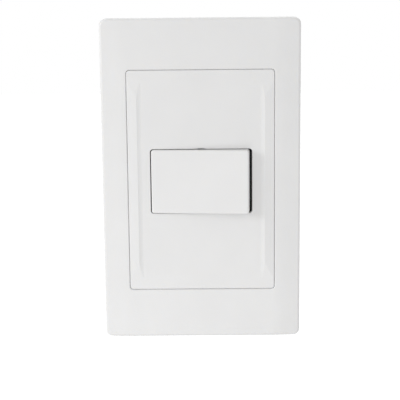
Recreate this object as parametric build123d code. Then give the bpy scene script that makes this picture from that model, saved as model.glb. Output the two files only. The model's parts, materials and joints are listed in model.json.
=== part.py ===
from build123d import *

import math
import os

# A two-way rocker light switch for an upright rectangular wall box.
# The frame is that of the wall: X to the right, -Y towards the room, +Y into the wall, +Z up.
# The origin lies on the wall's surface, midway between the two fixing screws.
# Lengths are in millimetres and angles in degrees. Levels are values of Y.

# Cover: the surround frame
plate_width = 74.0
plate_height = 120.0
plate_depth = 7.7
plate_wall = 2.0
plate_corner_r = 2.4
plate_inner_r = 0.8
plate_edge_r = 1.1
plate_draft = 1.5
crown_angle = 6.0
crown_blend_r = 40.0
crown_start = 27.0
outline_reach = 1.0
rib_thick = 1.0
rib_depth = 1.4
rib_pitch = 22.0

# Cover: the face panel and its seat
panel_width = 54.4
panel_height = 82.5
panel_thick = 2.4
panel_corner_r = 1.2
panel_seam = 0.12
seam_bevel = 0.3
seat_wall = 1.6
seat_ledge = 1.4
seat_thick = 1.1

# Two low ridges on the panel, one at each side of its field
ridge_inset = 3.6
ridge_run = 1.6
ridge_height = 0.35
ridge_length = 74.0
ridge_fade = 6.0
ridge_root = 0.5
ridge_foot_gap = 0.1

# Window for the rocker, with its collar and the notch in its top edge
window_width = 37.8
window_height = 24.2
window_corner_r = 1.0
window_bevel = 0.2
collar_wall = 1.2
collar_depth = 1.5
notch_width = 3.8
notch_height = 0.5
notch_depth = 0.9

# Mounting frame behind the cover
frame_side_gap = 2.0
frame_end_gap = 6.0
frame_thick = 2.5
frame_corner_r = 3.0
frame_rim_wall = 1.2
frame_rim_height = 1.5
pocket_width = 17.0
pocket_height = 16.0
pocket_depth = 1.2
pocket_gap = 3.0

# Clip legs of the panel and of the surround, and their slots in the mounting frame
leg_width = 6.0
leg_thick = 1.2
leg_recess = 0.2
barb_reach = 0.8
barb_length = 1.0
clip_slack = 0.1
slot_slack = 0.2
panel_clip_inset_x = 4.8
panel_clip_inset_z = 7.4
surround_clip_inset_x = 11.0
surround_clip_inset_z = 4.2

# Fixing screws
fixing_spacing = 83.5
fixing_r = 1.75
fixing_neck_r = 1.45
fixing_length = 25.0
fixing_tip = 1.4
fixing_head_r = 3.35
fixing_head_height = 2.3
fixing_head_bevel = 1.0
fixing_head_crown = 0.35
fixing_slot_length = 7.5
fixing_slot_slack = 0.4
head_recess = 0.6
head_slack = 0.8
cross_length = 3.6
cross_width = 0.8
cross_depth = 1.3

# Switch body
housing_width = 42.0
housing_height = 25.6
housing_wall = 1.6
housing_corner_r = 1.2
housing_edge = 0.6
housing_front = -2.4
housing_slack = 0.15
flange_reach = 1.5
flange_height = 20.0
flange_thick = 1.3
snap_reach = 0.6
snap_width = 8.0
snap_length = 1.6
snap_slack = 0.05
back_wall = 1.4

# Cover of the switch body, with the rocker's bearings
cover_thick = 1.4
cover_slack = 0.1
cover_ledge = 0.4
cover_opening_width = 8.8
cover_opening_height = 7.6
ear_width = 5.2
ear_thick = 1.4
ear_gap = 0.25
snap_gap_width = 1.8

# Rocker: pivot, travel and key
pivot_level = -4.2
rocker_tilt = 5.2
trunnion_r = 1.15
trunnion_slack = 0.05
key_end_gap = 0.75
key_side_gap = 0.2
key_face_height = 5.7
key_depth = 5.0
key_wall = 1.4
key_front_wall = 1.5
key_corner_r = 0.9
key_edge_r = 0.6

# Rocker: carrier under the key
carrier_end_gap = 1.15
carrier_plate_height = 17.2
carrier_plate = 1.4
cheek_thick = 1.4
cheek_width = 6.0
cheek_end_r = 1.5
cheek_angle = 60
foot_thick = 1.4
foot_width = 12.0
stop_gap = 0.1
hook_x = 11.0
hook_width = 3.0
hook_thick = 1.0
hook_barb = 0.5
hook_slack = 0.1

# Plunger and spring in the carrier
tube_wall = 1.0
tube_reach = 3.6
plunger_r = 1.8
plunger_slack = 0.08
plunger_tip_r = 1.2
plunger_reach = 8.3
plunger_top = 1.0
plunger_shoulder = 5.0
bore_roof = 0.6
spring_wire_r = 0.2
spring_r = 1.35
spring_turns = 4
spring_sides = 6

# Contact blade and its fulcrum
fulcrum_level = 5.2
fulcrum_r = 0.4
fulcrum_slack = 0.05
blade_ratio = 1.2
blade_length = 23.0
blade_width = 6.0
blade_thick = 1.0
contact_x = 9.5
contact_r = 1.6
contact_base = 0.3
contact_dome = 0.4
contact_gap = 0.05
fixed_contact_height = 0.8
saddle_half_width = 1.5
saddle_ear_thick = 1.0
saddle_ear_gap = 0.3
saddle_ear_rise = 0.9

# Terminals
terminal_x = 13.5
terminal_z = -1.0
terminal_size = 6.8
terminal_length = 9.7
pad_thick = 1.0
pad_margin = 0.5
pocket_slack = 0.1
wire_bore_r = 2.0
wire_bore_depth = 9.0
wire_entry_slack = 0.3
wire_entry_lead = 0.6

# Terminal screws
terminal_screw_r = 1.75
terminal_screw_slack = 0.05
terminal_screw_travel = 3.9
terminal_head_r = 2.6
terminal_head_height = 1.8
terminal_head_bevel = 0.4
terminal_slot_width = 0.7
terminal_slot_depth = 0.9
screw_channel_slack = 0.4
terminal_screw_tip_gap = 0.1

# Levels and positions that follow from the sizes above
blade_tilt = rocker_tilt * blade_ratio
frame_width = plate_width - 2 * (plate_wall + frame_side_gap)
frame_height = plate_height - 2 * (plate_wall + frame_end_gap)
panel_clip_x = panel_width / 2 - panel_clip_inset_x
panel_clip_z = panel_height / 2 - panel_clip_inset_z
surround_clip_x = frame_width / 2 - surround_clip_inset_x
surround_clip_z = frame_height / 2 - surround_clip_inset_z
panel_front = -plate_depth
panel_back = panel_front + panel_thick
panel_middle = panel_front + panel_thick / 2
frame_front = -frame_thick
leg_tip = -leg_recess
barb_catch = leg_tip - barb_length
head_seat = frame_front + head_recess
cover_back = housing_front + cover_thick
key_width = window_width - 2 * key_end_gap
key_height = window_height - 2 * key_side_gap
key_face = pivot_level - key_face_height
key_inside = key_face + key_front_wall
carrier_length = key_width - 2 * (key_wall + carrier_end_gap)
carrier_back = key_inside + carrier_plate
bore_r = plunger_r + plunger_slack
tube_r = bore_r + tube_wall
bearing_r = trunnion_r + trunnion_slack
ear_inner = carrier_plate_height / 2 + ear_gap
ear_outer = ear_inner + ear_thick
dome_radius = (contact_r**2 + contact_dome**2) / (2 * contact_dome)
dome_centre = contact_base + contact_dome - dome_radius
closed_tilt = math.radians(blade_tilt)
dome_drop = contact_x * math.sin(closed_tilt) + dome_centre * math.cos(closed_tilt)
fixed_contact_x = contact_x * math.cos(closed_tilt) - dome_centre * math.sin(closed_tilt)
fixed_contact_front = fulcrum_level + dome_drop + dome_radius + contact_gap
pad_front = fixed_contact_front + fixed_contact_height
pad_back = pad_front + pad_thick
terminal_back = pad_back + terminal_length
housing_back = terminal_back + pocket_slack + back_wall
screw_level = pad_back + terminal_length / 2
terminal_bottom = terminal_z - terminal_size / 2
screw_tip = terminal_z - wire_bore_r - terminal_screw_tip_gap
screw_head_top = screw_tip - (terminal_size / 2 - wire_bore_r) - terminal_screw_travel


def between(outline, front, back, taper=0):
    """A solid from an outline drawn as seen from the room, between two levels."""
    return extrude(Plane.XZ.offset(-back) * outline, amount=back - front, taper=taper)


def block(x, z, width, height, front, back):
    """A plain block centred on x and z, between two levels."""
    return between(Pos(x, z) * Rectangle(width, height), front, back)


def rod(x, z, radius, front, back):
    """A round rod along Y."""
    return between(Pos(x, z) * Circle(radius), front, back)


def crown():
    """All that lies behind the cover's face: flat in the middle, falling away at both sides."""
    slope = math.radians(crown_angle)
    blend_x = crown_start + crown_blend_r * math.sin(slope)
    blend_y = panel_front + crown_blend_r * (1 - math.cos(slope))
    side_y = blend_y + (plate_width / 2 - blend_x) * math.tan(slope)
    flat = Line((-crown_start, panel_front), (crown_start, panel_front))
    right = RadiusArc((crown_start, panel_front), (blend_x, blend_y), -crown_blend_r)
    left = RadiusArc((-blend_x, blend_y), (-crown_start, panel_front), -crown_blend_r)
    rest = Polyline(
        (blend_x, blend_y),
        (plate_width / 2, side_y),
        (plate_width / 2, plate_depth),
        (-plate_width / 2, plate_depth),
        (-plate_width / 2, side_y),
        (-blend_x, blend_y),
    )
    section = make_face([flat, right, rest, left])
    return extrude(Plane.XY.offset(-plate_height / 2) * section, amount=plate_height)


def edges_around(solid, width, height, back):
    """The edges of a crowned face that follow the outline of a rectangle of a given size."""
    found = []
    for edge in solid.edges():
        middle = edge.position_at(0.5)
        outside = max(abs(middle.X) - width / 2, abs(middle.Z) - height / 2)
        lies_in_face = abs(edge.tangent_at(0.5).Y) < math.sin(math.radians(2 * crown_angle))
        if middle.Y < back and abs(outside) < outline_reach and lies_in_face:
            found.append(edge)
    return found


def front_edges(solid):
    """The outer edges of the face nearest the room."""
    return solid.faces().sort_by(Axis.Y)[0].outer_wire().edges()


def mirrored_in_x(solid):
    """The same solid on the other side of the upright middle plane."""
    return mirror(solid, Plane.YZ)


def tipped(solid, level, angle):
    """Turn a solid about the upright axis that passes through x = 0 at a level."""
    return Pos(0, level, 0) * Rot(0, 0, angle) * Pos(0, -level, 0) * solid


def four_corners(x, z):
    """The four places at plus and minus x and z."""
    return [(sx * x, sz * z) for sx in (-1, 1) for sz in (-1, 1)]


def clip_leg(x, z, root):
    """A straight leg from a cover piece, with a barb that faces away from the middle."""
    side = math.copysign(1, z)
    leg = block(x, z, leg_width, leg_thick, root, leg_tip)
    outside = z + side * leg_thick / 2
    barb = Polyline(
        (barb_catch, outside),
        (barb_catch, outside + side * barb_reach),
        (leg_tip, outside),
        close=True,
    )
    plane = Plane.YZ.offset(x - leg_width / 2)
    return leg + extrude(plane * make_face(barb), amount=leg_width, dir=(1, 0, 0))


def clip_slot(x, z):
    """The slot for a clip leg, with a wider relief behind the ledge for its barb."""
    side = math.copysign(1, z)
    width = leg_width + 2 * slot_slack
    passage = block(x, z, width, leg_thick + 2 * slot_slack, frame_front, 0)
    relief_height = leg_thick + barb_reach + 2 * slot_slack
    relief_z = z + side * barb_reach / 2
    relief = block(x, relief_z, width, relief_height, barb_catch - clip_slack, 0)
    return passage + relief


def surround_ribs():
    """Stiffening ribs behind the rim of the surround, clear of the mounting frame."""
    inner_front = panel_front + plate_wall
    rib_back = inner_front + rib_depth
    seat_x = panel_width / 2 + panel_seam + seat_wall
    seat_z = panel_height / 2 + panel_seam + seat_wall
    side_width = plate_width / 2 - plate_wall - seat_x
    end_height = plate_height / 2 - plate_wall - seat_z
    ribs = []
    for side in (-1, 1):
        x = side * (seat_x + side_width / 2)
        z = side * (seat_z + end_height / 2)
        for step in (-1.5, -0.5, 0.5, 1.5):
            ribs.append(block(x, step * rib_pitch, side_width, rib_thick, inner_front, rib_back))
        for step in (-0.5, 0.5):
            ribs.append(block(step * rib_pitch, z, rib_thick, end_height, inner_front, rib_back))
    return ribs


def make_surround_frame():
    """The outer moulding: a shallow tray with a framed opening for the panel."""
    outline = RectangleRounded(plate_width, plate_height, plate_corner_r)
    shell = between(outline, panel_front, 0, taper=plate_draft) & crown()
    face_back = panel_front + plate_wall
    shell = fillet(edges_around(shell, plate_width, plate_height, face_back), plate_edge_r)
    cavity = RectangleRounded(
        plate_width - 2 * plate_wall, plate_height - 2 * plate_wall, plate_inner_r
    )
    shell -= between(cavity, panel_front, 0) & Pos(0, plate_wall, 0) * crown()
    open_width = panel_width + 2 * panel_seam
    open_height = panel_height + 2 * panel_seam
    opening_r = panel_corner_r + panel_seam
    seat_outline = RectangleRounded(
        open_width + 2 * seat_wall, open_height + 2 * seat_wall, opening_r + seat_wall
    )
    shell += between(seat_outline, panel_front + plate_wall, panel_back + seat_thick)
    for rib in surround_ribs():
        shell += rib
    shell -= between(RectangleRounded(open_width, open_height, opening_r), panel_front, panel_back)
    ledge_width = open_width - 2 * seat_ledge
    ledge_height = open_height - 2 * seat_ledge
    shell -= between(Rectangle(ledge_width, ledge_height), panel_back, panel_back + seat_thick)
    shell = chamfer(edges_around(shell, open_width, open_height, face_back), seam_bevel)
    for x, z in four_corners(surround_clip_x, surround_clip_z):
        shell += clip_leg(x, z, panel_front + plate_wall)
    return shell


def side_ridge():
    """The ridge at the right of the field: hollow towards the field, gentle towards the seam.

    Its crest lies at one height over most of its length and fades into the panel at both ends.
    """
    crest_x = panel_width / 2 - ridge_inset
    inner_x = crest_x - ridge_run
    outer_x = panel_width / 2 - seam_bevel - ridge_foot_gap
    crest = panel_front - ridge_height
    root = panel_front + ridge_root
    hollow = ThreePointArc(
        (inner_x, panel_front),
        (crest_x - ridge_run / 2, panel_front - ridge_height / 3),
        (crest_x, crest),
    )
    rest = Polyline(
        (crest_x, crest),
        (outer_x, panel_front),
        (outer_x, root),
        (inner_x, root),
        (inner_x, panel_front),
    )
    ridge = extrude(
        Plane.XY.offset(-ridge_length / 2) * make_face([hollow, rest]), amount=ridge_length
    )
    crest_end = ridge_length / 2 - ridge_fade
    profile = Polyline(
        (root, -ridge_length / 2),
        (panel_front, -ridge_length / 2),
        (crest, -crest_end),
        (crest, crest_end),
        (panel_front, ridge_length / 2),
        (root, ridge_length / 2),
        close=True,
    )
    faded = extrude(Plane.YZ * make_face(profile), amount=panel_width / 2, dir=(1, 0, 0))
    return ridge & faded


def window_notch():
    """The shallow lens-shaped notch in the top edge of the window, for lifting the panel off."""
    notch_r = ((notch_width / 2) ** 2 + notch_height**2) / (2 * notch_height)
    centre_z = window_height / 2 + notch_height - notch_r
    floor = panel_front + notch_depth
    disc = rod(0, centre_z, notch_r, panel_front, floor)
    above = block(0, window_height / 2 + notch_r, 3 * notch_r, 2 * notch_r, panel_front, floor)
    return disc & above


def make_face_panel():
    """The inner panel with its two ridges, the rocker's window and four clip legs."""
    outline = RectangleRounded(panel_width, panel_height, panel_corner_r)
    panel = between(outline, panel_front, panel_back) & crown()
    panel = chamfer(edges_around(panel, panel_width, panel_height, panel_middle), seam_bevel)
    collar_r = window_corner_r + collar_wall
    collar = RectangleRounded(
        window_width + 2 * collar_wall, window_height + 2 * collar_wall, collar_r
    )
    panel += between(collar, panel_back, panel_back + collar_depth)
    ridge = side_ridge()
    panel += ridge
    panel += mirrored_in_x(ridge)
    window = RectangleRounded(window_width, window_height, window_corner_r)
    panel -= between(window, panel_front, panel_back + collar_depth)
    panel = chamfer(edges_around(panel, window_width, window_height, panel_middle), window_bevel)
    panel -= window_notch()
    for x, z in four_corners(panel_clip_x, panel_clip_z):
        panel += clip_leg(x, z, panel_back)
    return panel


def make_mounting_frame():
    """The plate that is screwed to the wall box and holds the switch and the cover."""
    outline = RectangleRounded(frame_width, frame_height, frame_corner_r)
    frame = between(outline, frame_front, 0)
    inside = RectangleRounded(
        frame_width - 2 * frame_rim_wall,
        frame_height - 2 * frame_rim_wall,
        frame_corner_r - frame_rim_wall,
    )
    frame += between(outline - inside, frame_front - frame_rim_height, frame_front)
    opening_width = housing_width + 2 * housing_slack
    opening_height = housing_height + 2 * housing_slack
    frame -= block(0, 0, opening_width, opening_height, frame_front, 0)
    recess_width = housing_width + 2 * (flange_reach + housing_slack)
    recess_height = flange_height + 2 * housing_slack
    flange_back = frame_front + flange_thick
    frame -= block(0, 0, recess_width, recess_height, frame_front, flange_back)
    slot_width = 2 * (fixing_r + fixing_slot_slack)
    recess_end = fixing_slot_length - slot_width + 2 * (fixing_head_r + head_slack)
    for side in (-1, 1):
        place = Pos(0, side * fixing_spacing / 2)
        frame -= between(place * SlotOverall(fixing_slot_length, slot_width), frame_front, 0)
        recess = place * SlotOverall(recess_end, 2 * (fixing_head_r + head_slack))
        frame -= between(recess, frame_front, head_seat)
    for x, z in four_corners(panel_clip_x, panel_clip_z):
        frame -= clip_slot(x, z)
    for x, z in four_corners(surround_clip_x, surround_clip_z):
        frame -= clip_slot(x, z)
    pocket_x = (pocket_width + pocket_gap) / 2
    pocket_z = opening_height / 2 + pocket_gap + pocket_height / 2
    for x, z in four_corners(pocket_x, pocket_z):
        frame -= block(x, z, pocket_width, pocket_height, -pocket_depth, 0)
    return frame


def cross_recess(level):
    """The cross-shaped driver recess in a head whose top lies at a level."""
    first = block(0, 0, cross_length, cross_width, level, level + cross_depth)
    second = block(0, 0, cross_width, cross_length, level, level + cross_depth)
    return first + second


def make_fixing_screw(z):
    """A pan-head screw seated in a slot of the mounting frame, its shank into the wall box."""
    head_top = head_seat - fixing_head_height
    head = rod(0, 0, fixing_head_r, head_top, head_seat)
    head = chamfer(front_edges(head), fixing_head_bevel)
    head = chamfer(front_edges(head), fixing_head_crown, 2 * fixing_head_crown)
    head -= cross_recess(head_top)
    tip_level = head_seat + fixing_length
    shank = rod(0, 0, fixing_neck_r, head_seat, 0)
    shank += rod(0, 0, fixing_r, 0, tip_level)
    end = shank.faces().sort_by(Axis.Y)[-1].edges()
    shank = chamfer(end, fixing_tip, fixing_tip / 2)
    return Pos(0, 0, z) * (head + shank)


def make_switch_housing():
    """The insulating body: a chamber for the mechanism and three pockets for the terminals."""
    outline = RectangleRounded(housing_width, housing_height, housing_corner_r)
    body = between(outline, housing_front, housing_back)
    body = chamfer(body.faces().sort_by(Axis.Y)[-1].edges(), housing_edge)
    flange_width = housing_width + 2 * flange_reach
    flange_back = frame_front + flange_thick
    body += block(0, 0, flange_width, flange_height, housing_front, flange_back)
    for side in (-1, 1):
        wedge = Polyline(
            (snap_slack, side * housing_height / 2),
            (snap_slack, side * (housing_height / 2 + snap_reach)),
            (snap_slack + snap_length, side * housing_height / 2),
            close=True,
        )
        plane = Plane.YZ.offset(-snap_width / 2)
        body += extrude(plane * make_face(wedge), amount=snap_width, dir=(1, 0, 0))
    chamber_width = housing_width - 2 * housing_wall
    chamber_height = housing_height - 2 * housing_wall
    body -= block(0, 0, chamber_width, chamber_height, housing_front, pad_back)
    seat_width = chamber_width + 2 * cover_ledge
    seat_height = chamber_height + 2 * cover_ledge
    body -= block(0, 0, seat_width, seat_height, housing_front, cover_back)
    pocket_size = terminal_size + 2 * pocket_slack
    channel_r = terminal_head_r + screw_channel_slack
    entry_r = wire_bore_r + wire_entry_slack
    for x in (-terminal_x, 0, terminal_x):
        pocket_back = terminal_back + pocket_slack
        body -= block(x, terminal_z, pocket_size, pocket_size, pad_back, pocket_back)
        body -= rod(x, terminal_z, entry_r, pocket_back, housing_back)
        lead = Cone(entry_r, entry_r + wire_entry_lead, wire_entry_lead)
        lead_level = housing_back - wire_entry_lead / 2
        body -= Pos(x, lead_level, terminal_z) * Rot(-90, 0, 0) * lead
        channel_length = terminal_bottom + housing_height / 2
        channel = Cylinder(channel_r, channel_length)
        body -= Pos(x, screw_level, terminal_bottom - channel_length / 2) * channel
    return body


def bearing_ear():
    """One bearing of the rocker: an ear with a round seat that the trunnion snaps into."""
    profile = Pos(0, pivot_level) * Circle(ear_width / 2)
    stem_length = housing_front - pivot_level
    profile += Pos(0, pivot_level + stem_length / 2) * Rectangle(ear_width, stem_length)
    profile -= Pos(0, pivot_level) * Circle(bearing_r)
    profile -= Pos(0, pivot_level - ear_width / 2) * Rectangle(snap_gap_width, ear_width)
    return extrude(Plane.XY.offset(ear_inner) * profile, amount=ear_thick)


def make_housing_cover():
    """The front plate of the body, with an opening for the plunger's tube and two ears."""
    width = housing_width - 2 * housing_wall + 2 * (cover_ledge - cover_slack)
    height = housing_height - 2 * housing_wall + 2 * (cover_ledge - cover_slack)
    cover = block(0, 0, width, height, housing_front, cover_back)
    cover -= block(0, 0, cover_opening_width, cover_opening_height, housing_front, cover_back)
    ear = bearing_ear()
    return cover + ear + mirror(ear, Plane.XY)


def key_hook(x, side):
    """A hook inside the key that grips the edge of the carrier's plate."""
    inner = carrier_plate_height / 2 + hook_slack
    tip = carrier_back + hook_slack + 2 * hook_barb
    z = side * (inner + hook_thick / 2)
    hook = block(x, z, hook_width, hook_thick, key_inside, tip)
    barb = Polyline(
        (carrier_back + hook_slack, side * inner),
        (carrier_back + hook_slack, side * (inner - hook_barb)),
        (tip, side * inner),
        close=True,
    )
    plane = Plane.YZ.offset(x - hook_width / 2)
    return hook + extrude(plane * make_face(barb), amount=hook_width, dir=(1, 0, 0))


def make_rocker_key():
    """The visible key: a cap with a flat face, a skirt and four hooks inside."""
    skirt_end = key_face + key_depth
    key = between(RectangleRounded(key_width, key_height, key_corner_r), key_face, skirt_end)
    key = fillet(front_edges(key), key_edge_r)
    hollow_width = key_width - 2 * key_wall
    hollow_height = key_height - 2 * key_wall
    key -= block(0, 0, hollow_width, hollow_height, key_inside, skirt_end)
    for x in (-hook_x, hook_x):
        for side in (-1, 1):
            key += key_hook(x, side)
    return tipped(key, pivot_level, -rocker_tilt)


def stop_foot_level():
    """How far the carrier's end feet reach, so that they stop the rocker at its full tilt."""
    tilt = math.radians(rocker_tilt)
    drop = carrier_length / 2 * math.sin(tilt)
    return pivot_level + (housing_front - stop_gap - pivot_level - drop) / math.cos(tilt)


def make_rocker_carrier():
    """The part under the key, with trunnions, end feet and the plunger's tube."""
    plate = block(0, 0, carrier_length, carrier_plate_height, key_inside, carrier_back)
    foot_x = (carrier_length - foot_thick) / 2
    for side in (-1, 1):
        foot = block(side * foot_x, 0, foot_thick, foot_width, carrier_back, stop_foot_level())
        plate += foot
        cheek = Pos(0, pivot_level) * Circle(cheek_end_r)
        cheek_height = pivot_level - carrier_back
        root = Trapezoid(cheek_width, cheek_height, cheek_angle)
        cheek += Pos(0, (pivot_level + carrier_back) / 2) * root
        start = side * (carrier_plate_height / 2 - cheek_thick)
        plate += extrude(Plane.XY.offset(start) * cheek, amount=side * cheek_thick)
        trunnion_end = ear_outer - stop_gap
        trunnion = Pos(0, pivot_level) * Circle(trunnion_r)
        trunnion_start = side * carrier_plate_height / 2
        trunnion_length = trunnion_end - carrier_plate_height / 2
        plate += extrude(Plane.XY.offset(trunnion_start) * trunnion, amount=side * trunnion_length)
    plate += rod(0, 0, tube_r, carrier_back, pivot_level + tube_reach)
    plate -= rod(0, 0, bore_r, key_inside + bore_roof, pivot_level + tube_reach)
    return tipped(plate, pivot_level, -rocker_tilt)


def make_plunger():
    """The sprung pin whose round tip rides on the contact blade."""
    top = pivot_level + plunger_top
    shoulder = pivot_level + plunger_shoulder
    tip_centre = pivot_level + plunger_reach - plunger_tip_r
    pin = rod(0, 0, plunger_r, top, shoulder)
    pin = chamfer(pin.faces().sort_by(Axis.Y)[-1].edges(), (plunger_r - plunger_tip_r) / 2)
    pin += rod(0, 0, plunger_tip_r, shoulder, tip_centre)
    pin += Pos(0, tip_centre, 0) * Sphere(plunger_tip_r)
    return tipped(pin, pivot_level, -rocker_tilt)


def make_plunger_spring():
    """The coil spring between the roof of the carrier's bore and the plunger."""
    start = key_inside + bore_roof + spring_wire_r
    end = pivot_level + plunger_top - spring_wire_r
    length = end - start
    path = Helix(pitch=length / spring_turns, height=length, radius=spring_r)
    wire_section = Plane(path @ 0, z_dir=path % 0) * RegularPolygon(spring_wire_r, spring_sides)
    coil = sweep(wire_section, path=path, is_frenet=True)
    return tipped(Pos(0, start, 0) * Rot(-90, 0, 0) * coil, pivot_level, -rocker_tilt)


def make_contact_blade():
    """The changeover blade, with a round groove underneath that rocks on the fulcrum."""
    outline = SlotOverall(blade_length, blade_width)
    blade = between(outline, fulcrum_level - blade_thick, fulcrum_level)
    groove = Cylinder(fulcrum_r + fulcrum_slack, blade_width)
    blade -= Pos(0, fulcrum_level, 0) * groove
    return tipped(blade, fulcrum_level, blade_tilt)


def make_moving_contact(side):
    """A domed contact on the wall side of the blade."""
    x = side * contact_x
    base = rod(x, 0, contact_r, fulcrum_level, fulcrum_level + contact_base + contact_dome)
    ball = Pos(x, fulcrum_level + dome_centre, 0) * Sphere(dome_radius)
    return tipped(base & ball, fulcrum_level, blade_tilt)


def make_fixed_contact(side):
    """A flat contact on a traveller terminal, just clear of the closed blade."""
    return rod(side * fixed_contact_x, 0, contact_r, fixed_contact_front, pad_front)


def terminal_block(x):
    """A brass pillar with a wire bore from the back and a screw hole from below."""
    pillar = block(x, terminal_z, terminal_size, terminal_size, pad_back, terminal_back)
    pillar -= rod(x, terminal_z, wire_bore_r, terminal_back - wire_bore_depth, terminal_back)
    hole_length = terminal_size / 2
    hole = Cylinder(terminal_screw_r + terminal_screw_slack, hole_length)
    return pillar - Pos(x, screw_level, terminal_bottom + hole_length / 2) * hole


def make_traveller_terminal(side):
    """A terminal with a pad that reaches under its fixed contact."""
    inner = fixed_contact_x - contact_r - pad_margin
    outer = terminal_x + terminal_size / 2
    pad = block((inner + outer) / 2, terminal_z, outer - inner, terminal_size, pad_front, pad_back)
    terminal = pad + terminal_block(terminal_x)
    return terminal if side > 0 else mirrored_in_x(terminal)


def make_common_terminal():
    """The middle terminal, with the saddle and the ridge that the blade rocks on."""
    ear_start = blade_width / 2 + saddle_ear_gap
    ear_end = ear_start + saddle_ear_thick
    pad_height = ear_end - terminal_bottom
    pad_z = (ear_end + terminal_bottom) / 2
    terminal = block(0, pad_z, terminal_size, pad_height, pad_front, pad_back)
    terminal += terminal_block(0)
    ridge = make_face(
        Polyline(
            (-saddle_half_width, pad_front),
            (-fulcrum_r, fulcrum_level),
            (fulcrum_r, fulcrum_level),
            (saddle_half_width, pad_front),
            close=True,
        )
    )
    ridge += Pos(0, fulcrum_level) * Circle(fulcrum_r)
    terminal += extrude(Plane.XY.offset(-ear_end) * ridge, amount=2 * ear_end)
    ear_front = fulcrum_level - blade_thick - saddle_ear_rise
    for side in (-1, 1):
        ear_z = side * (ear_start + ear_end) / 2
        ear_width_x = 2 * saddle_half_width
        terminal += block(0, ear_z, ear_width_x, saddle_ear_thick, ear_front, pad_front)
    return terminal


def make_terminal_screw(x):
    """A slotted clamp screw, backed off so that its tip is clear of the wire bore."""
    shank_length = screw_tip - screw_head_top
    shank = Cylinder(terminal_screw_r, shank_length)
    shank = Pos(0, 0, screw_tip - shank_length / 2) * shank
    head = Cylinder(terminal_head_r, terminal_head_height)
    head = chamfer(head.faces().sort_by(Axis.Z)[0].edges(), terminal_head_bevel)
    slot = Box(2 * terminal_head_r, terminal_slot_width, terminal_slot_depth)
    head -= Pos(0, 0, (terminal_slot_depth - terminal_head_height) / 2) * slot
    head = Pos(0, 0, screw_head_top - terminal_head_height / 2) * head
    return Pos(x, screw_level, 0) * (shank + head)


nodes = {
    "surround_frame": make_surround_frame(),
    "face_panel": make_face_panel(),
    "mounting_frame": make_mounting_frame(),
    "fixing_screw_upper": make_fixing_screw(fixing_spacing / 2),
    "fixing_screw_lower": make_fixing_screw(-fixing_spacing / 2),
    "switch_housing": make_switch_housing(),
    "housing_cover": make_housing_cover(),
    "rocker_key": make_rocker_key(),
    "rocker_carrier": make_rocker_carrier(),
    "plunger": make_plunger(),
    "plunger_spring": make_plunger_spring(),
    "contact_blade": make_contact_blade(),
    "moving_contact_left": make_moving_contact(-1),
    "moving_contact_right": make_moving_contact(1),
    "fixed_contact_left": make_fixed_contact(-1),
    "fixed_contact_right": make_fixed_contact(1),
    "common_terminal": make_common_terminal(),
    "traveller_terminal_left": make_traveller_terminal(-1),
    "traveller_terminal_right": make_traveller_terminal(1),
    "terminal_screw_left": make_terminal_screw(-terminal_x),
    "terminal_screw_common": make_terminal_screw(0),
    "terminal_screw_right": make_terminal_screw(terminal_x),
}

os.makedirs("parts", exist_ok=True)
for name, solid in nodes.items():
    export_step(solid, f"parts/{name}.step")
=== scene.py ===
# %% [markdown]
# A two-way light switch, dressed for a product photograph.
# The construction comes from the CAD model as a fixed frame: every piece is already at its real
# size and place. This script adds what a CAD model leaves out: the moulded-plastic and metal
# finishes, the screw threads and the coil spring, and then the light and the camera.
# The wall's surface is the plane y = 0, the room is towards -Y, and Z is up.

# %% Load the model
import json
import math

import bpy
from mathutils import Matrix, Vector


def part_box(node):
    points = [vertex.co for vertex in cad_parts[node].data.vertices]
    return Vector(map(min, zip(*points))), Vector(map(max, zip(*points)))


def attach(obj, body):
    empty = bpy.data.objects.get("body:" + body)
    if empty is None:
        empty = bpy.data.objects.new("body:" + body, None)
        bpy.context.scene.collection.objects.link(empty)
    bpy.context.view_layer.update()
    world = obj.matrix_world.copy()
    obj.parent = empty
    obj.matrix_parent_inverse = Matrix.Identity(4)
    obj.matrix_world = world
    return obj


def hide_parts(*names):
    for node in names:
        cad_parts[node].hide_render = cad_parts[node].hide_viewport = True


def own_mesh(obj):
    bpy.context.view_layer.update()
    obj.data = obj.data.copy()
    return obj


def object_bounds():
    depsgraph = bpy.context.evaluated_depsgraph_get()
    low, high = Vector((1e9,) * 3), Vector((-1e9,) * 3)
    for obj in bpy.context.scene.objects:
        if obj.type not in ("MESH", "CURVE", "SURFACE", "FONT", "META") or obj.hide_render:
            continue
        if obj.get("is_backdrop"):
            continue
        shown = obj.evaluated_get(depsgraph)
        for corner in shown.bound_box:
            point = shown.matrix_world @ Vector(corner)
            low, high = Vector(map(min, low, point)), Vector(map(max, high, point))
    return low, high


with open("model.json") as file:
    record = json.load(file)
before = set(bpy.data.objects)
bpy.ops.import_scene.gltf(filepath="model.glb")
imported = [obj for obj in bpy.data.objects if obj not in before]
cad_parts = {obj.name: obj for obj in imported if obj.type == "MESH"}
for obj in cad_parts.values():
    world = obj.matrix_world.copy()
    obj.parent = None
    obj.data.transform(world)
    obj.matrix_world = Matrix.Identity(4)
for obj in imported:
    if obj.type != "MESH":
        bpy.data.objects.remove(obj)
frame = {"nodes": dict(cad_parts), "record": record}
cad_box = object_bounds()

behaviour = frame["record"]["behaviour"]
low_corner, high_corner = ([round(v, 4) for v in corner] for corner in cad_box)
print("the whole model runs from", low_corner, "to", high_corner)

# %% [markdown]
# All lengths here are in metres, like the model. Small hardware is easier to read in
# millimetres, so one name turns millimetres into metres.

# %% Units
MM = 0.001
print("the model is", round((cad_box[1][2] - cad_box[0][2]) / MM), "mm high")

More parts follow.
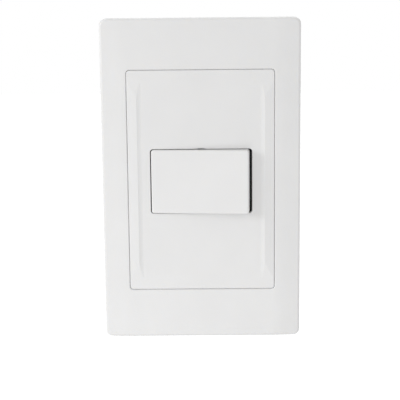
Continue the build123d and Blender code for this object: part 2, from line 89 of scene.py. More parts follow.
# %% [markdown]
# The camera. In the photograph the cover's top edge is wider than its bottom edge, so the camera
# stands a little above the middle. Both side edges lean in, the left one more, so it stands
# almost straight in front and is rolled by about half a degree. The outline of the cover and the
# seam round its panel together give the distance, the lens and the angles. The camera could be
# turned by three Euler angles, but it looks along its own -Z with its own Y up, so it is easier
# to read as a matrix of three directions: to the right, up, and back towards the camera.

# %% Camera
CAMERA_DISTANCE = 420 * MM
CAMERA_ELEVATION = math.radians(10.48)
CAMERA_AZIMUTH = math.radians(0.535)
CAMERA_ROLL = math.radians(-0.581)
CAMERA_TARGET = Vector((-0.55, -7.4, -7.09)) * MM
LENS_MM = 101.3
SENSOR_MM = 36

back = Vector((
    math.sin(CAMERA_AZIMUTH) * math.cos(CAMERA_ELEVATION),
    -math.cos(CAMERA_AZIMUTH) * math.cos(CAMERA_ELEVATION),
    math.sin(CAMERA_ELEVATION),
))
level_right = Vector((0, 0, 1)).cross(back).normalized()
level_up = back.cross(level_right)
right = math.cos(CAMERA_ROLL) * level_right + math.sin(CAMERA_ROLL) * level_up
up = math.cos(CAMERA_ROLL) * level_up - math.sin(CAMERA_ROLL) * level_right

camera_data = bpy.data.cameras.new("camera")
camera_data.lens = LENS_MM
camera_data.sensor_width = SENSOR_MM
camera = bpy.data.objects.new("camera", camera_data)
bpy.context.scene.collection.objects.link(camera)
camera_place = Matrix((right, up, back)).transposed().to_4x4()
camera_place.translation = CAMERA_TARGET + back * CAMERA_DISTANCE
camera.matrix_world = camera_place
bpy.context.scene.camera = camera
print("camera at", [round(v, 3) for v in camera.matrix_world.translation])

# %% [markdown]
# The light. In the photograph the left slope of the cover is a little brighter than the right one,
# the raised end of the rocker throws a short soft shadow, and the lower half is slightly
# brighter than the upper one. So a large soft lamp stands far to the upper left, at a grazing
# angle, and a white card low in front throws some of its light back up. Spot lamps would give
# hard shadows. Both are round area lamps that look at the middle of the object, so one helper
# makes them, and the camera doesn't see the lamps themselves.


# %% Lamps
def soft_lamp(name, place, size, power):
    """A round area lamp of a given size and power that looks at the middle of the object."""
    lamp_data = bpy.data.lights.new(name, "AREA")
    lamp_data.shape = "DISK"
    lamp_data.size = size
    lamp_data.energy = power
    lamp = bpy.data.objects.new(name, lamp_data)
    bpy.context.scene.collection.objects.link(lamp)
    lamp.location = place
    lamp.rotation_euler = (-Vector(place)).to_track_quat("-Z", "Y").to_euler()
    lamp.visible_camera = False
    print(name, round(Vector(place).length, 2), "m away,", power, "W")


KEY_PLACE = (-0.64, -0.35, 0.22)
KEY_SIZE = 0.34
KEY_POWER = 1.8
CARD_PLACE = (-0.06, -0.36, -0.22)
CARD_SIZE = 0.30
CARD_POWER = 0.28
soft_lamp("key_lamp", KEY_PLACE, KEY_SIZE, KEY_POWER)
soft_lamp("low_card", CARD_PLACE, CARD_SIZE, CARD_POWER)

# %% [markdown]
# The sky and the white background are two different things. What the camera, a mirror-like
# metal or a clear material sees of the world is plain white. What lights the object is a dimmer
# grey, because a white sky would wash the pale plastic out. The Light Path node tells the kinds
# of ray apart, and the floor needs it too, so a helper sets it up.


# %% Helper for kinds of ray
def kinds_of_ray(tree, kinds):
    """A value that is 1 for rays of the given kinds and 0 for all others."""
    rays = tree.nodes.new("ShaderNodeLightPath")
    value = rays.outputs[kinds[0]]
    for kind in kinds[1:]:
        either = tree.nodes.new("ShaderNodeMath")
        either.operation = "MAXIMUM"
        tree.links.new(value, either.inputs[0])
        tree.links.new(rays.outputs[kind], either.inputs[1])
        value = either.outputs[0]
    return value


SEEN_RAYS = ("Is Camera Ray", "Is Glossy Ray")
CLEAR_RAYS = ("Is Transmission Ray",)
print("seen directly or in metal:", SEEN_RAYS, "and through clear things:", CLEAR_RAYS)

# %% Sky
SKY_LEVEL = 0.742
WHITE_LEVEL = 1.0
WHITE = (1.0, 1.0, 1.0, 1)

world = bpy.data.worlds.new("studio_sky")
bpy.context.scene.world = world
world.use_nodes = True
sky = world.node_tree
sky.nodes.clear()
sky_out = sky.nodes.new("ShaderNodeOutputWorld")
sky_mix = sky.nodes.new("ShaderNodeMixShader")
sky_fill = sky.nodes.new("ShaderNodeBackground")
sky_white = sky.nodes.new("ShaderNodeBackground")
sky_fill.inputs["Color"].default_value = WHITE
sky_fill.inputs["Strength"].default_value = SKY_LEVEL
sky_white.inputs["Color"].default_value = WHITE
sky_white.inputs["Strength"].default_value = WHITE_LEVEL
sky.links.new(kinds_of_ray(sky, SEEN_RAYS + CLEAR_RAYS), sky_mix.inputs["Fac"])
sky.links.new(sky_fill.outputs[0], sky_mix.inputs[1])
sky.links.new(sky_white.outputs[0], sky_mix.inputs[2])
sky.links.new(sky_mix.outputs[0], sky_out.inputs["Surface"])
bpy.context.scene.view_settings.view_transform = "Standard"
print("sky fill level", SKY_LEVEL)

# %% [markdown]
# The floor. The switch hangs on its wall box, so the floor is well below it. It could be left
# out, but the light that a pale floor sends back up softens the object's lower edges, and it takes
# the object's shadow. A little glow, for the camera and for reflections alone, lifts the lit floor
# to the white of the background without lighting the object.

# %% Floor
FLOOR_LEVEL = -0.50
FLOOR_SIZE = 12.0
FLOOR_COLOUR = (0.85, 0.85, 0.85, 1)
FLOOR_GLOW = 0.5

bpy.ops.object.select_all(action="DESELECT")
bpy.ops.mesh.primitive_plane_add(size=FLOOR_SIZE, location=(0, 0, FLOOR_LEVEL))
floor = bpy.context.object
floor.name = "floor"
floor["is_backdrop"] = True

floor_paint = bpy.data.materials.new("floor_white")
floor_paint.use_nodes = True
paint = floor_paint.node_tree
paint.nodes.clear()
paint_out = paint.nodes.new("ShaderNodeOutputMaterial")
paint_add = paint.nodes.new("ShaderNodeAddShader")
paint_diffuse = paint.nodes.new("ShaderNodeBsdfDiffuse")
paint_glow = paint.nodes.new("ShaderNodeEmission")
paint_lift = paint.nodes.new("ShaderNodeMath")
paint_diffuse.inputs["Color"].default_value = FLOOR_COLOUR
paint_lift.operation = "MULTIPLY"
paint_lift.inputs[1].default_value = FLOOR_GLOW
paint.links.new(kinds_of_ray(paint, SEEN_RAYS), paint_lift.inputs[0])
paint.links.new(paint_lift.outputs[0], paint_glow.inputs["Strength"])
paint.links.new(paint_diffuse.outputs[0], paint_add.inputs[0])
paint.links.new(paint_glow.outputs[0], paint_add.inputs[1])
paint.links.new(paint_add.outputs[0], paint_out.inputs["Surface"])
floor.data.materials.append(floor_paint)
print("floor", FLOOR_SIZE, "m wide at", FLOOR_LEVEL)

# %% [markdown]
# Materials. Every finish here is built from the same few steps: a colour with a trace of
# variation, a roughness that varies a little, and a fine relief that only bends the light.
# Pictures of real surfaces could do this too, but noise needs no files and has no seams.
# The patterns read Object coordinates, in metres, so a noise scale of 1000 gives grains of
# about a millimetre, and the pattern stays put on the piece when it moves. A noise value lies
# mostly between 0.3 and 0.7, and that stretch is spread over the range that a finish needs.


# %% Helpers for materials
def new_material(name, ior=None):
    """An empty node material with one Principled shader, and its shader node."""
    material = bpy.data.materials.new(name)
    material.use_nodes = True
    shader = material.node_tree.nodes["Principled BSDF"]
    if ior:
        shader.inputs["IOR"].default_value = ior
    return material, shader


def let_light_in(shader, weight, radius, scale):
    """Let some of the light wander under the surface before it comes out again."""
    shader.inputs["Subsurface Weight"].default_value = weight
    shader.inputs["Subsurface Radius"].default_value = radius
    shader.inputs["Subsurface Scale"].default_value = scale


NOISE_LOW = 0.3
NOISE_HIGH = 0.7


def object_noise(material, grain, detail=3.0, stretch=(1, 1, 1)):
    """A noise on Object coordinates whose grains are about as large as `grain`, in metres."""
    nodes, links = material.node_tree.nodes, material.node_tree.links
    coordinates = nodes.new("ShaderNodeTexCoord")
    mapping = nodes.new("ShaderNodeMapping")
    mapping.inputs["Scale"].default_value = stretch
    noise = nodes.new("ShaderNodeTexNoise")
    noise.inputs["Scale"].default_value = 1 / grain
    noise.inputs["Detail"].default_value = detail
    links.new(coordinates.outputs["Object"], mapping.inputs["Vector"])
    links.new(mapping.outputs["Vector"], noise.inputs["Vector"])
    return noise


def spread(material, source, low, high):
    """Turn a noise value into a number that varies from low to high."""
    nodes, links = material.node_tree.nodes, material.node_tree.links
    to_range = nodes.new("ShaderNodeMapRange")
    to_range.inputs["From Min"].default_value = NOISE_LOW
    to_range.inputs["From Max"].default_value = NOISE_HIGH
    to_range.inputs["To Min"].default_value = low
    to_range.inputs["To Max"].default_value = high
    links.new(source.outputs["Fac"], to_range.inputs["Value"])
    return to_range.outputs["Result"]


def vary_colour(material, shader, source, first, second):
    """Mix two near colours by a noise and give the result to the shader."""
    nodes, links = material.node_tree.nodes, material.node_tree.links
    mix = nodes.new("ShaderNodeMix")
    mix.data_type = "RGBA"
    mix.inputs["A"].default_value = (*first, 1)
    mix.inputs["B"].default_value = (*second, 1)
    links.new(spread(material, source, 0, 1), mix.inputs["Factor"])
    links.new(mix.outputs["Result"], shader.inputs["Base Color"])


def vary_roughness(material, shader, source, low, high):
    """Let a noise move the roughness between two values."""
    result = spread(material, source, low, high)
    material.node_tree.links.new(result, shader.inputs["Roughness"])


def add_relief(material, shader, source, height, below=None):
    """Bend the light with a noise of a given height in metres, on top of an earlier relief."""
    nodes, links = material.node_tree.nodes, material.node_tree.links
    bump = nodes.new("ShaderNodeBump")
    bump.inputs["Strength"].default_value = 1.0
    bump.inputs["Distance"].default_value = height
    links.new(source.outputs["Fac"], bump.inputs["Height"])
    if below:
        links.new(below.outputs["Normal"], bump.inputs["Normal"])
    links.new(bump.outputs["Normal"], shader.inputs["Normal"])
    return bump


print("a grain of 1 mm is a noise scale of", round(1 / MM))

# %% [markdown]
# The cover and the rocker are the same white moulding plastic, with a semi-gloss skin. A
# polished mould leaves an almost flat surface: broad, very shallow waves from cooling, and a
# fine even grain. Real white plastic isn't pure white. A linear value near 0.8 is as bright as
# it gets, and it leaves room for the light to model the edges. The plastic also lets a little
# light in, as real moulding plastic does, because a skin that is all surface looks painted.

# %% White cover plastic
WAVE_SIZE = 14 * MM
WAVE_HEIGHT = 0.020 * MM
SKIN_GRAIN = 0.35 * MM
SKIN_HEIGHT = 0.0016 * MM

white_plastic, shader = new_material("white_cover_plastic", ior=1.50)
shader.inputs["Specular IOR Level"].default_value = 0.45
let_light_in(shader, weight=0.25, radius=(1.0, 0.95, 0.85), scale=0.6 * MM)
cooling_waves = object_noise(white_plastic, WAVE_SIZE, detail=1.0)
skin_grain = object_noise(white_plastic, SKIN_GRAIN, detail=2.0)
vary_colour(white_plastic, shader, cooling_waves, (0.790, 0.788, 0.786), (0.806, 0.804, 0.801))
vary_roughness(white_plastic, shader, skin_grain, low=0.30, high=0.38)
waves = add_relief(white_plastic, shader, cooling_waves, WAVE_HEIGHT)
add_relief(white_plastic, shader, skin_grain, SKIN_HEIGHT, below=waves)
print("white plastic: waves of", WAVE_SIZE / MM, "mm, grain of", SKIN_GRAIN / MM, "mm")

# %% [markdown]
# The mounting frame and the switch body are working parts. Their moulds are spark-eroded, which
# leaves a matt surface like very fine sandpaper. The frame is a plain pale plastic. The gap
# beside the raised end of the rocker is black in the photograph, so the switch body is a black
# insulating plastic, and its mineral filler gives it a faint speckle. A true black would hide its
# edges, so the colour stays a little above it.

# %% Matt plastics for the working parts
frame_plastic, shader = new_material("frame_plastic", ior=1.50)
flow = object_noise(frame_plastic, grain=9 * MM, detail=2.0)
spark_grain = object_noise(frame_plastic, grain=0.22 * MM, detail=3.0)
vary_colour(frame_plastic, shader, flow, (0.600, 0.600, 0.590), (0.650, 0.650, 0.640))
vary_roughness(frame_plastic, shader, spark_grain, low=0.50, high=0.66)
add_relief(frame_plastic, shader, spark_grain, height=0.010 * MM)

housing_plastic, shader = new_material("housing_plastic", ior=1.52)
speckle = object_noise(housing_plastic, grain=0.30 * MM, detail=4.0)
mould_skin = object_noise(housing_plastic, grain=0.16 * MM, detail=2.0)
vary_colour(housing_plastic, shader, speckle, (0.020, 0.020, 0.021), (0.034, 0.034, 0.035))
vary_roughness(housing_plastic, shader, mould_skin, low=0.44, high=0.60)
add_relief(housing_plastic, shader, mould_skin, height=0.008 * MM)
print("matt plastics: frame and housing")

# %% [markdown]
# The rocker's carrier and the plunger slide on other pieces, so they are nylon: a slightly
# yellow, waxy plastic that lets a little light in. A paler colour alone would look like chalk,
# so scattering half a millimetre under the surface gives that waxiness.

# %% Nylon for the sliding parts
nylon, shader = new_material("carrier_nylon", ior=1.53)
let_light_in(shader, weight=0.25, radius=(1.0, 0.9, 0.75), scale=0.5 * MM)
clouds = object_noise(nylon, grain=5 * MM, detail=2.0)
wax_grain = object_noise(nylon, grain=0.25 * MM, detail=2.0)
vary_colour(nylon, shader, clouds, (0.700, 0.680, 0.600), (0.750, 0.730, 0.660))
vary_roughness(nylon, shader, wax_grain, low=0.38, high=0.48)
add_relief(nylon, shader, wax_grain, height=0.004 * MM)
print(nylon.name, "for the carrier and the plunger")

# %% [markdown]
# The metals. Zinc plate is bright and slightly blue, with a fine mottle from the plating bath.
# Brass strip has fine lines from rolling, so its noise is stretched along one direction. The
# contact rivets are a pale silver alloy, and the spring is drawn steel wire with lines along it.
# They differ only in colour, roughness, and the size and run of their lines, so one helper makes
# all four.


# %% Metals
TONE_GRAIN = 3 * MM
METAL_RELIEF = 0.003 * MM


def metal(name, first, second, rough, grain, stretch=(1, 1, 1)):
    """A metal with a slightly varied colour, a range of roughness and a fine relief."""
    material, shader = new_material(name)
    shader.inputs["Metallic"].default_value = 1.0
    tone = object_noise(material, TONE_GRAIN, detail=2.0)
    lines = object_noise(material, grain, detail=3.0, stretch=stretch)
    vary_colour(material, shader, tone, first, second)
    vary_roughness(material, shader, lines, *rough)
    add_relief(material, shader, lines, METAL_RELIEF)
    return material


zinc = metal(
    "zinc_plate",
    first=(0.56, 0.58, 0.60),
    second=(0.67, 0.68, 0.70),
    rough=(0.20, 0.34),
    grain=0.4 * MM,
)
brass = metal(
    "rolled_brass",
    first=(0.76, 0.56, 0.25),
    second=(0.83, 0.64, 0.32),
    rough=(0.24, 0.42),
    grain=0.5 * MM,
    stretch=(6, 1, 1),
)
silver = metal(
    "silver_alloy",
    first=(0.82, 0.81, 0.78),
    second=(0.90, 0.89, 0.86),
    rough=(0.22, 0.34),
    grain=0.3 * MM,
)
spring_steel = metal(
    "spring_wire",
    first=(0.50, 0.51, 0.53),
    second=(0.60, 0.61, 0.62),
    rough=(0.26, 0.38),
    grain=0.2 * MM,
    stretch=(1, 0.2, 1),
)
print("metals:", zinc.name, brass.name, silver.name, spring_steel.name)

# %% [markdown]
# Each CAD piece keeps its shape and gets the finish of its material slot in the record. The
# pieces could be dressed one by one, but the record already says what each is made of, so one
# table, from slot to material, dresses them all.

# %% Dress the CAD pieces
SLOT_MATERIALS = {
    "white_cover_plastic": white_plastic,
    "frame_plastic": frame_plastic,
    "housing_plastic": housing_plastic,
    "carrier_plastic": nylon,
    "zinc_plated_steel": zinc,
    "spring_steel": spring_steel,
    "brass": brass,
    "silver_contact": silver,
}


def dress(piece, material):
    """Give a piece one material all over."""
    piece.data.materials.clear()
    piece.data.materials.append(material)


node_slots = {part["node"]: part["material_slot"] for part in frame["record"]["subparts"]}
for node, slot in node_slots.items():
    dress(frame["nodes"][node], SLOT_MATERIALS[slot])
print("dressed", len(node_slots), "CAD pieces")

# %% [markdown]
# Screws. Five screws hold this switch and its wires: two long ones go through the mounting frame
# into the wall box, and three short ones clamp the wires. They are cold-headed and thread-rolled,
# so a screw is made here the same way round: first the head, then the thread, then the driver's
# recess. All of that is work in edit mode on selected parts of a mesh, joined by Boolean
# modifiers, and a few short helpers keep it readable.


# %% Helpers for shaping in edit mode
def start_mesh_edit():
    """Go to edit mode with nothing selected."""
    bpy.ops.object.mode_set(mode="EDIT")
    bpy.ops.mesh.select_all(action="DESELECT")


def select_faces(piece, wanted):
    """Select the faces of a piece in edit mode that pass a test."""
    bpy.ops.mesh.select_all(action="DESELECT")
    bpy.ops.mesh.select_mode(type="FACE")
    bpy.ops.object.mode_set(mode="OBJECT")
    for face in piece.data.polygons:
        face.select = wanted(face)
    bpy.ops.object.mode_set(mode="EDIT")


def select_vertices(piece, wanted):
    """Select the vertices of a piece in edit mode that pass a test."""
    bpy.ops.mesh.select_mode(type="VERT")
    bpy.ops.mesh.select_all(action="DESELECT")
    bpy.ops.object.mode_set(mode="OBJECT")
    for vertex in piece.data.vertices:
        vertex.select = wanted(vertex)
    bpy.ops.object.mode_set(mode="EDIT")


def only(piece):
    """Make one piece the active and only selected object."""
    bpy.ops.object.select_all(action="DESELECT")
    piece.select_set(True)
    bpy.context.view_layer.objects.active = piece


def combine(piece, tool, operation):
    """Join a tool's shape to a piece, cut it out, or keep what both share; then drop the tool."""
    only(piece)
    boolean = piece.modifiers.new(operation.lower(), "BOOLEAN")
    boolean.operation = operation
    boolean.solver = "EXACT"
    boolean.object = tool
    bpy.ops.object.modifier_apply(modifier=boolean.name)
    bpy.data.objects.remove(tool)


def triangles(piece):
    """How many triangles a piece has."""
    return sum(len(face.vertices) - 2 for face in piece.data.polygons)


cad_triangles = sum(triangles(piece) for piece in frame["nodes"].values())
print("the CAD pieces have", cad_triangles, "triangles before any is replaced")

# %% [markdown]
# A screw's head and the smooth blank of its shank are round about the axis. A lathe shape can be
# made by spinning a profile, but then the middle has to be closed and the seam merged. Here a
# filled disc is extruded from ring to ring and scaled at each one, so the shape is closed from the
# start. The disc primitive faces Z, so for a screw along Y it is first turned a quarter.


# %% Helper for turned shapes
ALONG = {"Y": Vector((0, 1, 0)), "Z": Vector((0, 0, 1))}
DISC_TURN = {"Y": (math.pi / 2, 0, 0), "Z": (0, 0, 0)}
TURNED_SIDES = 48


def turned(name, axis, rings):
    """A solid of revolution: a disc that is extruded and scaled from ring to ring.

    Each ring is a level along the axis and a radius, and the first is the starting disc.
    """
    level, radius = rings[0]
    bpy.ops.object.select_all(action="DESELECT")
    bpy.ops.mesh.primitive_circle_add(
        vertices=TURNED_SIDES,
        radius=radius,
        fill_type="NGON",
        location=ALONG[axis] * level,
        rotation=DISC_TURN[axis],
    )
    piece = bpy.context.object
    piece.name = name
    bpy.ops.object.transform_apply(location=True, rotation=True, scale=True)
    bpy.ops.object.mode_set(mode="EDIT")
    bpy.ops.mesh.select_all(action="SELECT")
    for next_level, next_radius in rings[1:]:
        move = ALONG[axis] * (next_level - level)
        grow = next_radius / radius
        bpy.ops.mesh.extrude_region_move(TRANSFORM_OT_translate={"value": move})
        bpy.ops.transform.resize(value=(grow, grow, grow), center_override=ALONG[axis] * next_level)
        level, radius = next_level, next_radius
    bpy.ops.mesh.select_all(action="SELECT")
    bpy.ops.mesh.normals_make_consistent(inside=False)
    bpy.ops.object.mode_set(mode="OBJECT")
    return piece


print("a turned shape has a side every", 360 / TURNED_SIDES, "degrees")

# %% [markdown]
# The thread is the part that a smooth rod can't stand in for. It could be a relief in the
# material, but its edge shows against the light. A screw thread is one small V shape that turns
# about the axis and climbs by its pitch with each turn, and that is exactly what the Screw
# modifier does to a profile. The profile is drawn from a single vertex by extruding it three
# times: up the flank, along the narrow crest, and down the other flank. The coil runs past both
# ends, and bisect cuts it flat there and fills the cut. Bisect treats vertices within its
# threshold of the plane as lying on it, and its default of a tenth of a millimetre is too coarse
# for a thread: it leaves holes in the cut. A far smaller one closes it.


# %% Helper for the thread
THREAD_STEPS = 28
CREST_SHARE = 0.16
THREAD_DEPTH_SHARE = 0.61
TURNS_BEFORE = 2
TURNS_AFTER = 1
STEP_MERGE = 0.001 * MM
TURN_MERGE = 0.002 * MM
CUT_TOLERANCE = 0.0001 * MM


def thread(name, axis, radius, pitch, start, end):
    """A rolled thread between two levels of an axis through the origin, closed at both ends."""
    depth = THREAD_DEPTH_SHARE * pitch
    crest = CREST_SHARE * pitch
    flank = (pitch - crest) / 2
    along = ALONG[axis]
    outwards = Vector((1, 0, 0))
    bpy.ops.object.select_all(action="DESELECT")
    bpy.ops.mesh.primitive_plane_add(size=pitch)
    piece = bpy.context.object
    piece.name = name
    bpy.ops.object.mode_set(mode="EDIT")
    bpy.ops.mesh.select_mode(type="VERT")
    bpy.ops.mesh.select_all(action="SELECT")
    bpy.ops.mesh.merge(type="CENTER")
    bpy.ops.mesh.select_all(action="SELECT")
    root = outwards * (radius - depth) + along * (start - TURNS_BEFORE * pitch)
    bpy.ops.transform.translate(value=root)
    for step in (outwards * depth + along * flank, along * crest, along * flank - outwards * depth):
        bpy.ops.mesh.extrude_region_move(TRANSFORM_OT_translate={"value": step})
    bpy.ops.object.mode_set(mode="OBJECT")
    climb = piece.modifiers.new("climb", "SCREW")
    climb.axis = axis
    climb.screw_offset = pitch
    climb.iterations = TURNS_BEFORE + math.ceil((end - start) / pitch) + TURNS_AFTER
    climb.steps = THREAD_STEPS
    climb.render_steps = THREAD_STEPS
    climb.use_merge_vertices = True
    climb.merge_threshold = STEP_MERGE
    bpy.ops.object.modifier_apply(modifier=climb.name)
    bpy.ops.object.mode_set(mode="EDIT")
    bpy.ops.mesh.select_all(action="SELECT")
    bpy.ops.mesh.remove_doubles(threshold=TURN_MERGE)
    for level, keep_below in ((end, True), (start, False)):
        bpy.ops.mesh.select_all(action="SELECT")
        bpy.ops.mesh.bisect(
            plane_co=along * level,
            plane_no=along,
            use_fill=True,
            clear_outer=keep_below,
            clear_inner=not keep_below,
            threshold=CUT_TOLERANCE,
        )
    bpy.ops.mesh.select_all(action="SELECT")
    bpy.ops.mesh.normals_make_consistent(inside=False)
    bpy.ops.object.mode_set(mode="OBJECT")
    return piece


print("a thread is", THREAD_DEPTH_SHARE, "of its pitch deep, in", THREAD_STEPS, "steps a turn")

# %% [markdown]
# A thread that is cut off square looks like a piece of threaded rod. So the shank is what the
# thread has in common with a blank, a smooth and slightly larger rod with a tapered tip, and the
# thread runs out there, as a rolled one does. The shank reaches a little way up into the head,
# where the two are joined.


# %% Helper for the threaded shank
THREAD_IN_HEAD = 0.3 * MM
BLANK_IN_HEAD = 0.5 * MM
BLANK_NECK = 0.1 * MM
BLANK_CREST = 0.02 * MM
END_SHORT = 0.02 * MM


def add_shank(screw, axis, radius, pitch, seat, tip, taper, tip_radius):
    """Join a threaded shank, with a tip that tapers over a length, to a screw's head."""
    shank = thread("shank", axis, radius, pitch, seat - THREAD_IN_HEAD, tip - END_SHORT)
    blank = turned("blank", axis, [
        (seat - BLANK_IN_HEAD, radius + BLANK_NECK),
        (tip - taper, radius + BLANK_CREST),
        (tip, tip_radius),
    ])
    combine(shank, blank, "INTERSECT")
    combine(screw, shank, "UNION")


print("a shank reaches", THREAD_IN_HEAD / MM, "mm into the head")

# %% [markdown]
# The two fixing screws are the pair that comes with the switch: bright zinc-plated pan-head
# screws. The dome could be a squashed sphere, but a pan head has a short upright rim, a round
# shoulder and an almost flat top. So it is a disc that is extruded and scaled ring by ring, from
# the seat outwards.

# %% Fixing screw
upper_low, upper_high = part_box("fixing_screw_upper")
FIXING_RADIUS = 1.75 * MM
FIXING_PITCH = 0.794 * MM
HEAD_RADIUS = (upper_high[0] - upper_low[0]) / 2
HEAD_SEAT = -1.9 * MM
HEAD_TOP = upper_low[1]
TIP = upper_high[1]
TIP_TAPER = 1.4 * MM
TIP_RADIUS = FIXING_RADIUS - 0.7 * MM
head_size = round(2 * HEAD_RADIUS / MM, 2)
print("fixing screw: head", head_size, "mm, length", round((TIP - HEAD_SEAT) / MM, 1), "mm")

dome = [
    (HEAD_SEAT, HEAD_RADIUS - 0.10 * MM),
    (HEAD_SEAT - 0.10 * MM, HEAD_RADIUS),
    (HEAD_SEAT - 0.75 * MM, HEAD_RADIUS),
    (HEAD_SEAT - 1.20 * MM, HEAD_RADIUS - 0.16 * MM),
    (HEAD_SEAT - 1.58 * MM, HEAD_RADIUS - 0.50 * MM),
    (HEAD_SEAT - 1.88 * MM, HEAD_RADIUS - 1.00 * MM),
    (HEAD_SEAT - 2.12 * MM, HEAD_RADIUS - 1.65 * MM),
    (HEAD_SEAT - 2.26 * MM, HEAD_RADIUS - 2.40 * MM),
    (HEAD_TOP, 0.35 * MM),
]
fixing_screw = turned("fixing_screw_threaded_upper", "Y", dome)
add_shank(
    fixing_screw, "Y", FIXING_RADIUS, FIXING_PITCH, HEAD_SEAT, TIP, TIP_TAPER, TIP_RADIUS
)
print("with its thread:", triangles(fixing_screw), "triangles")

# %% [markdown]
# The recess is a cross whose walls lean in, so that the driver wedges tight. Two crossed blocks
# would have upright walls. Instead a small block has its four sides extruded into arms, and the
# deep end of the whole cross is scaled down. It is cut out of the dome with a Boolean modifier.
# A side of the block is found by its normal, which has to point along the new arm, and by its
# middle, because each arm that is already there has faces that point the same way.

# %% Cut the cross recess
CROSS_WIDTH = 0.95 * MM
CROSS_REACH = 2.2 * MM
CROSS_DEPTH = 1.3 * MM
CROSS_LEAN = 0.55
NEARLY_SQUARE = 0.9
NEAR_MIDDLE = CROSS_WIDTH / 4

bpy.ops.object.select_all(action="DESELECT")
bpy.ops.mesh.primitive_cube_add(size=1, location=(0, HEAD_TOP, 0))
cross = bpy.context.object
cross.scale = (CROSS_WIDTH, 2 * CROSS_DEPTH, CROSS_WIDTH)
bpy.ops.object.transform_apply(location=True, rotation=True, scale=True)
start_mesh_edit()
arm = CROSS_REACH - CROSS_WIDTH / 2
for side in (Vector((1, 0, 0)), Vector((-1, 0, 0)), Vector((0, 0, 1)), Vector((0, 0, -1))):
    across = side.cross(Vector((0, 1, 0)))
    select_faces(cross, lambda face: (
        face.normal.dot(side) > NEARLY_SQUARE and abs(face.center.dot(across)) < NEAR_MIDDLE
    ))
    bpy.ops.mesh.extrude_region_move(TRANSFORM_OT_translate={"value": side * arm})
select_vertices(cross, lambda vertex: vertex.co.y > HEAD_TOP)
bpy.ops.transform.resize(
    value=(CROSS_LEAN, 1, CROSS_LEAN), center_override=(0, HEAD_TOP + CROSS_DEPTH, 0)
)
bpy.ops.mesh.select_all(action="SELECT")
bpy.ops.mesh.normals_make_consistent(inside=False)
bpy.ops.object.mode_set(mode="OBJECT")
cross_floor = max(vertex.co.y for vertex in cross.data.vertices)
combine(fixing_screw, cross, "DIFFERENCE")
print("recess cut to", round((cross_floor - HEAD_TOP) / MM, 2), "mm deep")

# %% [markdown]
# The screw was made on the axis through the origin, at its real depth in the wall. Moving the
# object would put it in place, but the patterns in the materials are read from an object's own
# origin, and every CAD piece has that at the same point. So the object stays and its mesh moves.
# The lower screw is a copy with a mesh of its own. A screw's place is the middle of its CAD
# node's box, and along its own axis it stays where it is.


# %% Place the two fixing screws
SMOOTH_ANGLE = math.radians(38)


def place_piece(piece, offset, material, body, node):
    """Move a piece's mesh, smooth it, dress it, and let it stand for a CAD node."""
    only(piece)
    start_mesh_edit()
    bpy.ops.mesh.select_all(action="SELECT")
    bpy.ops.transform.translate(value=offset)
    bpy.ops.object.mode_set(mode="OBJECT")
    bpy.ops.object.shade_smooth_by_angle(angle=SMOOTH_ANGLE)
    dress(piece, material)
    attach(piece, body)
    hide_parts(node)


def copy_of(piece, name):
    """A copy of a piece with its own mesh."""
    twin = piece.copy()
    twin.data = piece.data.copy()
    twin.name = name
    bpy.context.scene.collection.objects.link(twin)
    return twin


def place_screws(screws, axis):
    """Put each screw at the middle of its CAD node's box, except along its own axis."""
    for node, piece in screws.items():
        low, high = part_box(node)
        offset = [(first + last) / 2 for first, last in zip(low, high)]
        offset["XYZ".index(axis)] = 0
        place_piece(piece, offset, zinc, "wall_part", node)
        print(piece.name, "moved by", [round(step / MM, 2) for step in offset], "mm")


place_screws({
    "fixing_screw_upper": fixing_screw,
    "fixing_screw_lower": copy_of(fixing_screw, "fixing_screw_threaded_lower"),
}, "Y")

# %% [markdown]
# The three terminal screws stand upright in the switch body, under the wire entries. They are
# short cheese-head screws with a straight slot and a finer thread. They could be fixing screws at
# another scale, but then the head and the thread would be out of proportion. So the head is
# turned in the same way, with a small bevel at its rim, and the slot is one thin block cut
# across it.

# %% Terminal screw
clamp_low, clamp_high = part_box("terminal_screw_common")
CLAMP_RADIUS = 1.75 * MM
CLAMP_PITCH = 0.6 * MM
CLAMP_HEAD_HEIGHT = 1.8 * MM
CLAMP_SLOT_WIDTH = 0.7 * MM
CLAMP_SLOT_DEPTH = 0.9 * MM
CLAMP_TAPER = 0.5 * MM
CLAMP_TIP_RADIUS = CLAMP_RADIUS - 0.4 * MM
clamp_head_radius = (clamp_high[0] - clamp_low[0]) / 2
clamp_top = clamp_low[2]
clamp_seat = clamp_top + CLAMP_HEAD_HEIGHT
clamp_tip = clamp_high[2]

clamp_screw = turned("clamp_screw_common", "Z", [
    (clamp_seat, clamp_head_radius - 0.06 * MM),
    (clamp_seat - 0.06 * MM, clamp_head_radius),
    (clamp_top + 0.40 * MM, clamp_head_radius),
    (clamp_top + 0.16 * MM, clamp_head_radius - 0.10 * MM),
    (clamp_top + 0.04 * MM, clamp_head_radius - 0.26 * MM),
    (clamp_top, clamp_head_radius - 0.50 * MM),
])
add_shank(
    clamp_screw, "Z", CLAMP_RADIUS, CLAMP_PITCH, clamp_seat, clamp_tip, CLAMP_TAPER, CLAMP_TIP_RADIUS
)

bpy.ops.object.select_all(action="DESELECT")
bpy.ops.mesh.primitive_cube_add(size=1, location=(0, 0, clamp_top))
slot_cut = bpy.context.object
slot_cut.scale = (3 * clamp_head_radius, CLAMP_SLOT_WIDTH, 2 * CLAMP_SLOT_DEPTH)
bpy.ops.object.transform_apply(location=True, rotation=True, scale=True)
combine(clamp_screw, slot_cut, "DIFFERENCE")
print("terminal screw:", triangles(clamp_screw), "triangles")

# %% [markdown]
# The three stand side by side, one in each terminal. Like the lower fixing screw, two of them are
# copies with meshes of their own, so that each can be dressed and moved without the others.

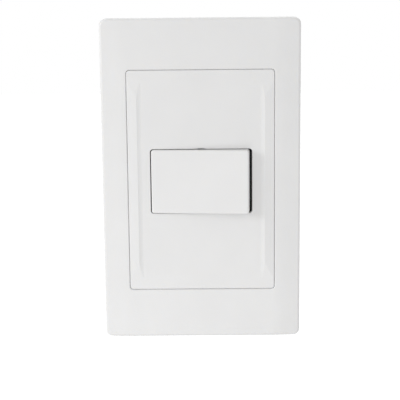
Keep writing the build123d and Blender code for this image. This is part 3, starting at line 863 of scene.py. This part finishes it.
# %% Place the three terminal screws
place_screws({
    "terminal_screw_common": clamp_screw,
    "terminal_screw_left": copy_of(clamp_screw, "clamp_screw_left"),
    "terminal_screw_right": copy_of(clamp_screw, "clamp_screw_right"),
}, "Z")

# %% [markdown]
# The spring that presses the plunger on the contact blade is a coil of drawn steel wire. A coil
# is a circle that turns about an axis and climbs, so it comes from the same Screw modifier as
# the threads, with a round profile beside the axis. The modifier leaves both ends open, and
# they are filled afterwards. The rocker stands tipped, so the coil is made about its pivot and
# tipped with it. A real spring gets shorter when the plunger is pushed in, but this one keeps a
# single length, from the roof of its bore to the plunger's face. It is made a hair shorter than
# its room, so that it doesn't cut into the plunger.

# %% Plunger spring
SPRING_TURNS = 4
SPRING_RADIUS = 1.35 * MM
WIRE_RADIUS = 0.2 * MM
WIRE_SIDES = 10
COIL_STEPS = 32
BORE_ROOF = -7.8 * MM
PLUNGER_FACE = -3.2 * MM
SPRING_SLACK = 0.02 * MM

joints = {joint["name"]: joint for joint in behaviour["joints"]}
pivot = joints["rocker_hinge"]["pos_m"][1]
slide_axis = Vector(joints["plunger_slide"]["axis"])
rocker_tip = math.asin(slide_axis.x)
spring_length = PLUNGER_FACE - BORE_ROOF - SPRING_SLACK
first_turn = BORE_ROOF + WIRE_RADIUS - pivot

bpy.ops.object.select_all(action="DESELECT")
bpy.ops.mesh.primitive_circle_add(
    vertices=WIRE_SIDES, radius=WIRE_RADIUS, location=(SPRING_RADIUS, first_turn, 0)
)
spring = bpy.context.object
spring.name = "plunger_spring_coil"
bpy.ops.object.transform_apply(location=True, rotation=True, scale=True)
coil = spring.modifiers.new("coil", "SCREW")
coil.axis = "Y"
coil.screw_offset = (spring_length - 2 * WIRE_RADIUS) / SPRING_TURNS
coil.iterations = SPRING_TURNS
coil.steps = COIL_STEPS
coil.render_steps = COIL_STEPS
bpy.ops.object.modifier_apply(modifier=coil.name)
start_mesh_edit()
bpy.ops.mesh.select_mode(type="EDGE")
bpy.ops.mesh.select_non_manifold()
bpy.ops.mesh.fill_holes(sides=0)
bpy.ops.mesh.select_all(action="SELECT")
bpy.ops.mesh.normals_make_consistent(inside=False)
bpy.ops.object.mode_set(mode="OBJECT")
spring.location = (0, pivot, 0)
spring.rotation_euler = (0, 0, rocker_tip)
bpy.ops.object.transform_apply(location=True, rotation=True, scale=True)
place_piece(spring, (0, 0, 0), spring_steel, "rocker", "plunger_spring")
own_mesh(spring)

# %% [markdown]
# Last, the size of the dressed model is measured, and how far it reaches past the CAD model's box is
# printed.
# The two have to agree closely, because the screws and the spring stand in for CAD pieces of the
# same size, and a wrong scale or place would show here first.

# %% Print the sizes and finish
visual_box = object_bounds()
growth = [
    max(cad_box[0][i] - visual_box[0][i], visual_box[1][i] - cad_box[1][i], 0) for i in range(3)
]
print("the dressed model reaches past the CAD box by", [round(v / MM, 3) for v in growth], "mm")
